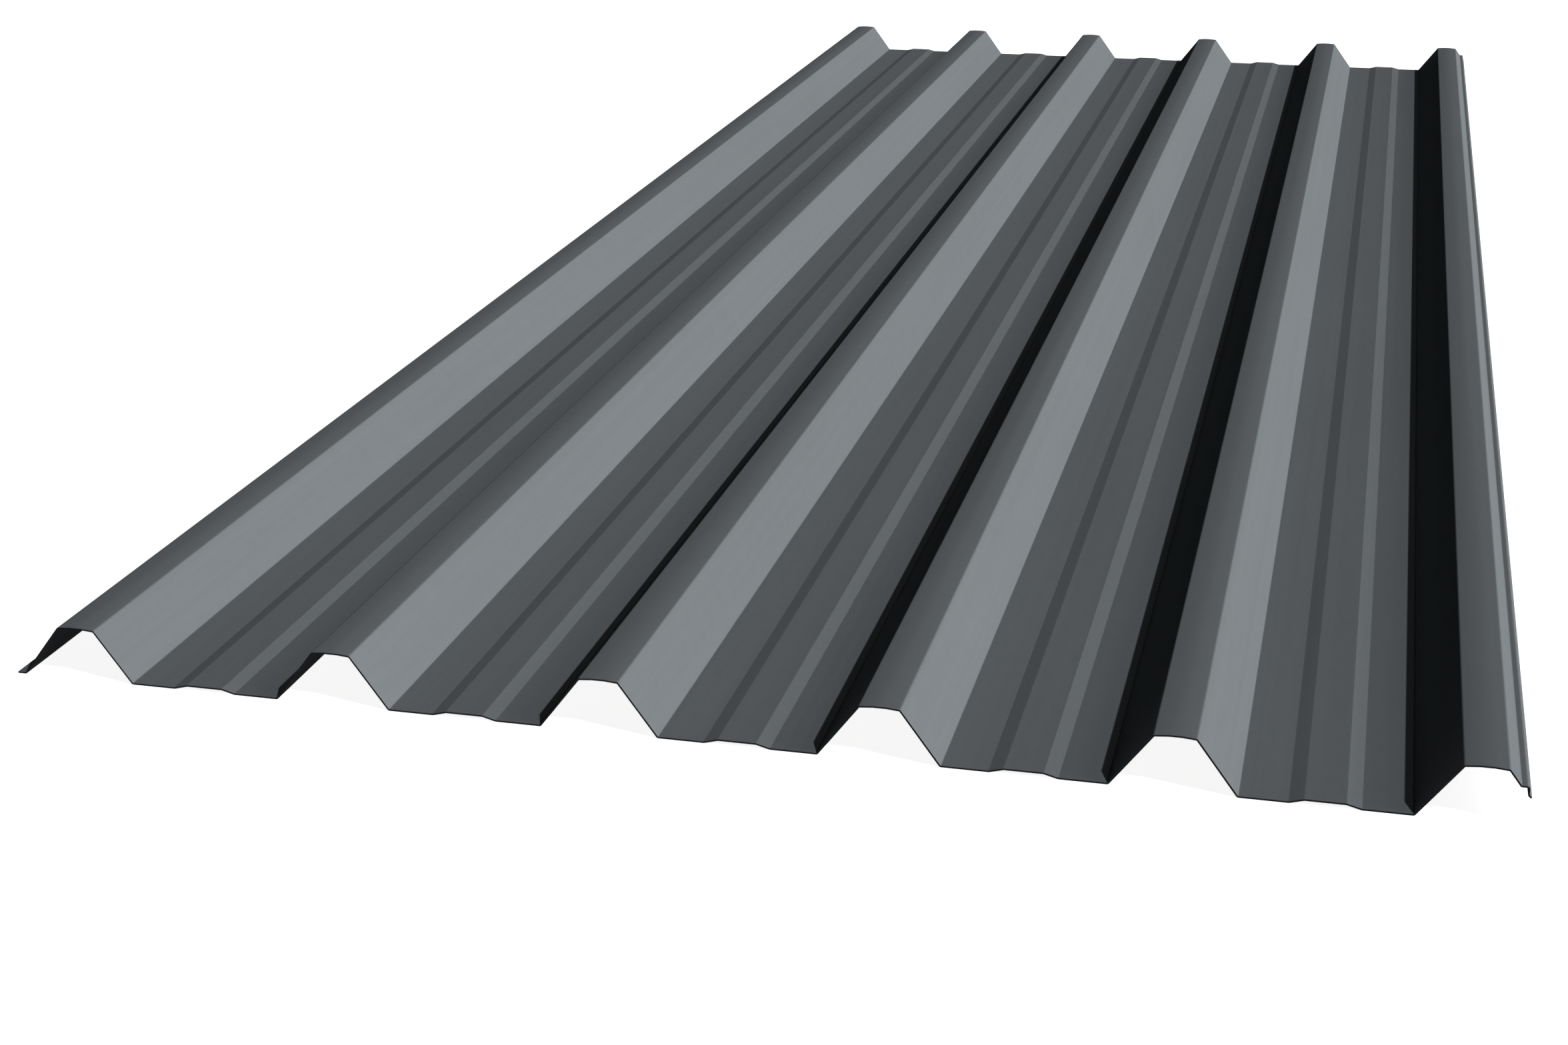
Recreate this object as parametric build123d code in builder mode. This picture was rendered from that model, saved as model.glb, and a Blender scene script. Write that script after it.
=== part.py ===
"""Box-profile roofing sheet: one roll-formed piece of coated steel, lying flat on its pans.

The section is drawn as the middle line of the steel, bent at every fold, given the
gauge of the steel and pushed along the length. +X runs across the sheet from the
underlap edge to the overlap edge, +Y along the ribs and +Z up. The origin is the
middle of the sheet at floor level.
"""

import os

from build123d import *

# The steel, in millimetres
sheet_length = 3000
steel_gauge = 1.25
bend_radius = 1.0  # inside of every fold

# The ribs
rib_count = 6
rib_pitch = 200
rib_base_width = 86
crown_width = 28.5
crown_rise = 1.0  # the crown is slightly domed between its two folds
profile_depth = 40.5  # underside of the pans to the highest line of the crowns

# The shallow stiffener along the middle of each pan
stiffener_foot_width = 47.5
stiffener_top_width = 27.3
stiffener_height = 2.7

# The underlap edge: the first rib's outer flank ends in a flat lip
lip_width = 6.5

# The overlap edge: the last rib's outer flank stops short, in a drip leg
overlap_flank_drop = 10.4
ledge_width = 5.0
leg_drop = 5.7
kick_length = 2.6
kick_angle = 45  # below horizontal

# Heights of the middle line of the steel
pan_height = steel_gauge / 2
crown_height = profile_depth - crown_rise - steel_gauge / 2

# Slope of the flanks, and how far the two side laps reach past the outer ribs' centres
flank_run = (rib_base_width - crown_width) / 2
flank_drop = crown_height - pan_height
overlap_flank_run = overlap_flank_drop * flank_run / flank_drop
kick = Vector(kick_length, 0).rotate(Axis.Z, -kick_angle)
kick_corner = Vector(steel_gauge / 2, 0).rotate(Axis.Z, 90 - kick_angle)
underlap_reach = rib_base_width / 2 + lip_width
overlap_reach = crown_width / 2 + overlap_flank_run + ledge_width + kick.X + kick_corner.X
overall_width = underlap_reach + (rib_count - 1) * rib_pitch + overlap_reach
first_rib_x = underlap_reach - overall_width / 2


def crown(rib_x):
    """The domed top of one rib, from its left fold to its right fold."""
    left_fold = (rib_x - crown_width / 2, crown_height)
    right_fold = (rib_x + crown_width / 2, crown_height)
    SagittaArc(left_fold, right_fold, crown_rise)


def pan(rib_x):
    """Everything from one rib's right crown fold, across the pan, to the next rib's left crown fold."""
    next_rib_x = rib_x + rib_pitch
    middle_x = rib_x + rib_pitch / 2
    stiffener_top = pan_height + stiffener_height
    Polyline(
        (rib_x + crown_width / 2, crown_height),
        (rib_x + rib_base_width / 2, pan_height),
        (middle_x - stiffener_foot_width / 2, pan_height),
        (middle_x - stiffener_top_width / 2, stiffener_top),
        (middle_x + stiffener_top_width / 2, stiffener_top),
        (middle_x + stiffener_foot_width / 2, pan_height),
        (next_rib_x - rib_base_width / 2, pan_height),
        (next_rib_x - crown_width / 2, crown_height),
    )


def underlap_edge(rib_x):
    """The flat lip and the full outer flank of the first rib."""
    base_x = rib_x - rib_base_width / 2
    Polyline(
        (base_x - lip_width, pan_height),
        (base_x, pan_height),
        (rib_x - crown_width / 2, crown_height),
    )


def overlap_edge(rib_x):
    """The short outer flank of the last rib, with the ledge, leg and kick that shed water."""
    fold = Vector(rib_x + crown_width / 2, crown_height)
    flank_end = fold + Vector(overlap_flank_run, -overlap_flank_drop)
    ledge_end = flank_end + Vector(ledge_width, 0)
    leg_end = ledge_end - Vector(0, leg_drop)
    Polyline(fold, flank_end, ledge_end, leg_end, leg_end + kick)


rib_places = [first_rib_x + rib_pitch * rib for rib in range(rib_count)]

with BuildLine() as middle_line:
    underlap_edge(rib_places[0])
    for rib_x in rib_places:
        crown(rib_x)
    for rib_x in rib_places[:-1]:
        pan(rib_x)
    overlap_edge(rib_places[-1])
    fillet(middle_line.vertices(), radius=bend_radius + steel_gauge / 2)


def end_beside(face_line, middle_end):
    """The end of the steel's top or underside line that lies beside an end of its middle line."""
    return min((face_line @ 0, face_line @ 1), key=lambda end: (end - middle_end).length)


middle = middle_line.wire()
top = middle.offset_2d(steel_gauge / 2, side=Side.LEFT, closed=False)
underside = middle.offset_2d(steel_gauge / 2, side=Side.RIGHT, closed=False)

with BuildPart() as sheet:
    with BuildSketch(Plane.XZ):
        with BuildLine():
            add(top)
            add(underside)
            for middle_end in (middle @ 0, middle @ 1):
                Line(end_beside(top, middle_end), end_beside(underside, middle_end))
        make_face()
    extrude(amount=sheet_length / 2, both=True)

sheet.part.label = "profiled_sheet"
os.makedirs("parts", exist_ok=True)
export_step(sheet.part, "parts/profiled_sheet.step")
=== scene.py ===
"""A coated steel roofing sheet on its pans, lit from the right, seen from past its near end."""

import math

import bpy
from mathutils import Matrix, Vector


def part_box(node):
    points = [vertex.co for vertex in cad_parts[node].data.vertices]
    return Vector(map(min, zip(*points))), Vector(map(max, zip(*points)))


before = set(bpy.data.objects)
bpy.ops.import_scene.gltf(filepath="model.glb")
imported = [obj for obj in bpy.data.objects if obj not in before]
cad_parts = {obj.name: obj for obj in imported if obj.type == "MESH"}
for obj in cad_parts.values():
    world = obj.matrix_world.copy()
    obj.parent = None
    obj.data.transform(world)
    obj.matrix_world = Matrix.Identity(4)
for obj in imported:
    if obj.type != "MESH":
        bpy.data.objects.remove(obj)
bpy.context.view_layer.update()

# The photograph's camera: pixels of its 2352 x 1568 frame, metres and degrees
IMAGE_WIDTH = 2352
IMAGE_HEIGHT = 1568
SENSOR_WIDTH_MM = 36.0
FOCAL_PIXELS = 3945.65
CENTRE_X_PIXELS = 1086.66
CENTRE_Y_PIXELS = 764.53
CAMERA_PLACE = (0.40896, -3.12679, 0.75092)
CAMERA_YAW = -14.065
CAMERA_PITCH = 18.998
CAMERA_ROLL = -0.015
CAMERA_REACH = 200

# Lamps: a level is what a white surface that faces the lamp shows, an angle leans from upright
# to the right, and a spread is how wide the lamp itself looks. Angles and spreads are in degrees
KEY_LEVEL = 0.57
KEY_ANGLE = 42.4
KEY_SPREAD = 1
KEY_FORWARD = 0.35
SOFT_LEVEL = 0.28
SOFT_ANGLE = 60
SOFT_SPREAD = 30
SIDE_LEVEL = 0.98
SIDE_ANGLE = 89
SIDE_SPREAD = 20
SIDE_COLOUR = (1.0, 0.975, 0.93)

# World: fill light, and what gloss mirrors, white up to BACKDROP_LOW and dim above BACKDROP_HIGH,
# which are sines of the height above the horizon
FILL_LEVEL = 0.004
BACKDROP_LOW = 0.04
BACKDROP_HIGH = 0.15
CEILING_LEVEL = 0.04

FLOOR_REACH = 60
FLOOR_COLOUR = 0.8
FLOOR_GLOW = 0.88

# The steel and its finish, in metres and linear colour
STEEL_GAUGE = 0.00125
LEAST_GAP = 0.0001
SPECULAR = 0.0
TOP_COLOUR = (0.138, 0.152, 0.163)
# The underside's colour is painted shade: near black, far darker than a backing coat, so the
# underside stays dark where the shadowless side lamp reaches it.
BACKING_PAINTED_SHADE = (0.011, 0.012, 0.013)
# The cut face's colours are painted shade: near black, so the lit cut faces read as a dark line
# along the sheet's ends.
CUT_PAINTED_SHADE_DARK = (0.008, 0.009, 0.010)
CUT_PAINTED_SHADE_PALE = (0.022, 0.023, 0.025)

# How far across the marks in the finish are, and how deep the shear's drag marks are
CLOUD_SIZE = 0.12
STAIN_SIZE = 0.02
MOTTLE_SIZE = 0.009
STREAK_SIZE = 0.006
PEEL_SIZE = 0.0028
GRAIN_SIZE = 0.0009
DRAG_SIZE = 0.0006
DRAG_DEPTH = 0.00003
ROUGHNESS_SWING = 0.08

# Material slots, and how far a cut face's normal turns along the sheet, or outwards and down
WEATHER, PAINTED_SHADE_UNDERSIDE, CUT = 0, 1, 2
TURNED_ALONG = 0.5
TURNED_OUT = 0.3


class Nodes:
    """A cleared node tree with a short way to add nodes and fill their sockets."""

    def __init__(self, tree):
        self.tree = tree
        tree.nodes.clear()

    def add(self, kind, inputs, **settings):
        """Add a node whose inputs, by name or number, are values or other nodes' outputs."""
        node = self.tree.nodes.new(kind)
        for name, value in settings.items():
            setattr(node, name, value)
        for name, value in inputs.items():
            socket = node.inputs[name]
            if isinstance(value, bpy.types.NodeSocket):
                self.tree.links.new(value, socket)
            else:
                socket.default_value = value
        return node

    def calc(self, operation, first, second):
        node = self.add("ShaderNodeMath", {0: first, 1: second}, operation=operation)
        return node.outputs[0]


def new_material(name):
    material = bpy.data.materials.new(name)
    material.use_nodes = True
    return material, Nodes(material.node_tree)


def noise(n, place, size, stretch=(1, 1, 1), detail=2.0):
    """Noise with blobs about size metres across, longer along an axis with a stretch above 1."""
    scale = tuple(1 / (size * along) for along in stretch)
    scaled = n.add("ShaderNodeMapping", {"Vector": place, "Scale": scale}).outputs[0]
    inputs = {"Vector": scaled, "Scale": 1.0, "Detail": detail, "Roughness": 0.5}
    return n.add("ShaderNodeTexNoise", inputs).outputs["Fac"]


def weighted(n, parts):
    """The sum of (output, weight) pairs."""
    total = None
    for part, weight in parts:
        scaled = n.calc("MULTIPLY", part, weight)
        total = scaled if total is None else n.calc("ADD", total, scaled)
    return total


def ranged(n, value, low, high):
    """The middle half of a noise's range, drawn out to run from low to high."""
    limits = {"From Min": 0.25, "From Max": 0.75, "To Min": low, "To Max": high}
    return n.add("ShaderNodeMapRange", {"Value": value, **limits}).outputs[0]


def colour_between(n, factor, first, second):
    inputs = {"Factor": factor, 6: (*first, 1), 7: (*second, 1)}
    return n.add("ShaderNodeMix", inputs, data_type="RGBA").outputs["Result"]


def surface(n, colour, roughness, height, depth, metallic=0.0):
    """Join a colour, a roughness and a bump that is depth metres deep to the material's output."""
    bump = n.add("ShaderNodeBump", {"Strength": 1.0, "Distance": depth, "Height": height})
    inputs = {
        "Base Color": colour,
        "Metallic": metallic,
        "Roughness": roughness,
        "Specular IOR Level": SPECULAR,
        "Normal": bump.outputs[0],
    }
    bsdf = n.add("ShaderNodeBsdfPrincipled", inputs)
    n.add("ShaderNodeOutputMaterial", {"Surface": bsdf.outputs[0]})


def coil_coating(name, colour, variation, roughness, peel_depth):
    """Baked paint: cloudy, streaked along the rolling, with pigment grain and orange peel."""
    material, n = new_material(name)
    place = n.add("ShaderNodeTexCoord", {}).outputs["Object"]
    clouds = noise(n, place, CLOUD_SIZE, stretch=(1, 4, 1), detail=3.0)
    streaks = noise(n, place, STREAK_SIZE, stretch=(1, 220, 1))
    mottle = noise(n, place, MOTTLE_SIZE, stretch=(1, 1.6, 1))
    grain = noise(n, place, GRAIN_SIZE, detail=1.0)
    peel = noise(n, place, PEEL_SIZE, stretch=(1, 1.3, 1))
    shade = weighted(n, [(clouds, 0.3), (streaks, 0.3), (mottle, 0.15), (grain, 0.25)])
    dark = [c * (1 - variation) for c in colour]
    pale = [c * (1 + variation) for c in colour]
    polish = weighted(n, [(clouds, 0.5), (mottle, 0.5)])
    surface(
        n,
        colour_between(n, ranged(n, shade, 0.0, 1.0), dark, pale),
        ranged(n, polish, roughness - ROUGHNESS_SWING, roughness + ROUGHNESS_SWING),
        weighted(n, [(peel, 0.75), (grain, 0.25)]),
        peel_depth,
    )
    return material


def sheared_edge_and_shade(name):
    """The cut through the gauge between the coatings, dragged by the shear blade, and coloured
    near black as painted shade.
    """
    material, n = new_material(name)
    place = n.add("ShaderNodeTexCoord", {}).outputs["Object"]
    drag = noise(n, place, DRAG_SIZE, stretch=(1, 1, 8))
    stain = noise(n, place, STAIN_SIZE, detail=3.0)
    shade = weighted(n, [(drag, 0.6), (stain, 0.4)])
    surface(
        n,
        colour_between(n, ranged(n, shade, 0.0, 1.0), CUT_PAINTED_SHADE_DARK, CUT_PAINTED_SHADE_PALE),
        ranged(n, drag, 0.5, 0.65),
        drag,
        DRAG_DEPTH,
        metallic=0.3,
    )
    return material


def face_material(face, low, high):
    """The slot of a face: cut where the sheet or its coil was, else weather side or the underside,
    which carries painted shade.
    """
    normal = face.normal
    along_end = abs(normal.y) > TURNED_ALONG
    lip_end = face.center.x < low.x + LEAST_GAP
    turned_out = normal.x > TURNED_OUT and normal.z < -TURNED_OUT
    kick_end = face.center.x > high.x - STEEL_GAUGE and turned_out
    if along_end or lip_end or kick_end:
        return CUT
    upright = abs(normal.z) <= LEAST_GAP
    return WEATHER if normal.z > LEAST_GAP or (upright and normal.x > 0) else PAINTED_SHADE_UNDERSIDE


def dress_sheet():
    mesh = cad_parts["profiled_sheet"].data
    mesh.materials.clear()
    weather = coil_coating(
        "weather_coat", TOP_COLOUR, variation=0.10, roughness=0.5, peel_depth=0.00006
    )
    # Painted shade: the underside's near-black colour keeps it dark inside the ribs, where the
    # side lamp casts no shadow.
    backing_painted_shade = coil_coating(
        "backing_coat_painted_shade", BACKING_PAINTED_SHADE, variation=0.12, roughness=0.6, peel_depth=0.00004
    )
    slots = {WEATHER: weather, PAINTED_SHADE_UNDERSIDE: backing_painted_shade, CUT: sheared_edge_and_shade("cut_edge_painted_shade")}
    for slot in sorted(slots):
        mesh.materials.append(slots[slot])
    low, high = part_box("profiled_sheet")
    for face in mesh.polygons:
        face.material_index = face_material(face, low, high)


def make_camera():
    camera = bpy.data.objects.new("camera", bpy.data.cameras.new("camera"))
    bpy.context.scene.collection.objects.link(camera)
    camera.data.sensor_fit = "HORIZONTAL"
    camera.data.sensor_width = SENSOR_WIDTH_MM
    camera.data.lens = FOCAL_PIXELS * SENSOR_WIDTH_MM / IMAGE_WIDTH
    camera.data.shift_x = (IMAGE_WIDTH / 2 - CENTRE_X_PIXELS) / IMAGE_WIDTH
    camera.data.shift_y = (CENTRE_Y_PIXELS - IMAGE_HEIGHT / 2) / IMAGE_WIDTH
    camera.data.clip_end = CAMERA_REACH
    yaw = math.radians(CAMERA_YAW)
    pitch = math.radians(CAMERA_PITCH)
    roll = math.radians(CAMERA_ROLL)
    forward = Vector(
        (math.sin(yaw) * math.cos(pitch), math.cos(yaw) * math.cos(pitch), -math.sin(pitch))
    )
    right = Vector((math.cos(yaw), -math.sin(yaw), 0))
    up = right.cross(forward)
    right_rolled = math.cos(roll) * right + math.sin(roll) * up
    up_rolled = -math.sin(roll) * right + math.cos(roll) * up
    turn = Matrix((right_rolled, up_rolled, -forward)).transposed().to_4x4()
    camera.matrix_world = Matrix.Translation(CAMERA_PLACE) @ turn
    bpy.context.scene.camera = camera


def mirror_ray(n, ray):
    """1 for a ray that comes by way of gloss or glass."""
    return n.calc("MAXIMUM", ray.outputs["Is Glossy Ray"], ray.outputs["Is Transmission Ray"])


def make_floor():
    """A pale floor that takes the sheet's shadow and looks near white in the view and in gloss."""
    mesh = bpy.data.meshes.new("floor")
    signs = [(-1, -1), (1, -1), (1, 1), (-1, 1)]
    corners = [(x * FLOOR_REACH, y * FLOOR_REACH, 0) for x, y in signs]
    mesh.from_pydata(corners, [], [(0, 1, 2, 3)])
    floor = bpy.data.objects.new("floor", mesh)
    bpy.context.scene.collection.objects.link(floor)
    material, n = new_material("floor")
    ray = n.add("ShaderNodeLightPath", {})
    seen = n.calc("MAXIMUM", ray.outputs["Is Camera Ray"], mirror_ray(n, ray))
    strength = n.calc("MULTIPLY", seen, FLOOR_GLOW)
    glow = n.add("ShaderNodeEmission", {"Color": (1, 1, 1, 1), "Strength": strength})
    diffuse = n.add("ShaderNodeBsdfDiffuse", {"Color": (*[FLOOR_COLOUR] * 3, 1)})
    both = n.add("ShaderNodeAddShader", {0: diffuse.outputs[0], 1: glow.outputs[0]})
    n.add("ShaderNodeOutputMaterial", {"Surface": both.outputs[0]})
    mesh.materials.append(material)


def sun(name, angle, level, spread_angle, shadow=True, forward=0, colour=(1, 1, 1)):
    """A sun lamp that leans angle degrees to the right, and forward towards the near end."""
    lamp = bpy.data.objects.new(name, bpy.data.lights.new(name, "SUN"))
    bpy.context.scene.collection.objects.link(lamp)
    lean = math.radians(angle)
    towards_lamp = Vector((math.sin(lean), -forward, math.cos(lean)))
    lamp.matrix_world = towards_lamp.to_track_quat("Z", "Y").to_matrix().to_4x4()
    lamp.data.energy = math.pi * level * math.hypot(1, forward)
    lamp.data.angle = math.radians(spread_angle)
    lamp.data.use_shadow = shadow
    lamp.data.color = colour


def make_lights():
    """A sharp and a broad lamp from the upper right, and a low one that reaches every flank."""
    sun("key", KEY_ANGLE, KEY_LEVEL, KEY_SPREAD, forward=KEY_FORWARD)
    sun("soft", SOFT_ANGLE, SOFT_LEVEL, SOFT_SPREAD)
    sun("side", SIDE_ANGLE, SIDE_LEVEL, SIDE_SPREAD, shadow=False, colour=SIDE_COLOUR)


def make_world():
    """White behind the sheet, in the view and in gloss, a dim ceiling and a little fill light."""
    world = bpy.data.worlds.new("studio")
    world.use_nodes = True
    bpy.context.scene.world = world
    n = Nodes(world.node_tree)
    ray = n.add("ShaderNodeLightPath", {})
    place = n.add("ShaderNodeTexCoord", {}).outputs["Generated"]
    height = n.add("ShaderNodeSeparateXYZ", {0: place}).outputs["Z"]
    limits = {
        "From Min": BACKDROP_LOW,
        "From Max": BACKDROP_HIGH,
        "To Min": 1.0,
        "To Max": CEILING_LEVEL,
    }
    backdrop = n.add(
        "ShaderNodeMapRange", {"Value": height, **limits}, interpolation_type="SMOOTHSTEP"
    )
    light = n.add(
        "ShaderNodeMix",
        {"Factor": mirror_ray(n, ray), 2: FILL_LEVEL, 3: backdrop.outputs[0]},
        data_type="FLOAT",
    )
    strength = n.calc("MAXIMUM", light.outputs[0], ray.outputs["Is Camera Ray"])
    background = n.add("ShaderNodeBackground", {"Color": (1, 1, 1, 1), "Strength": strength})
    n.add("ShaderNodeOutputWorld", {"Surface": background.outputs[0]})


dress_sheet()
make_camera()
make_floor()
make_lights()
make_world()
bpy.context.scene.view_settings.view_transform = "Standard"
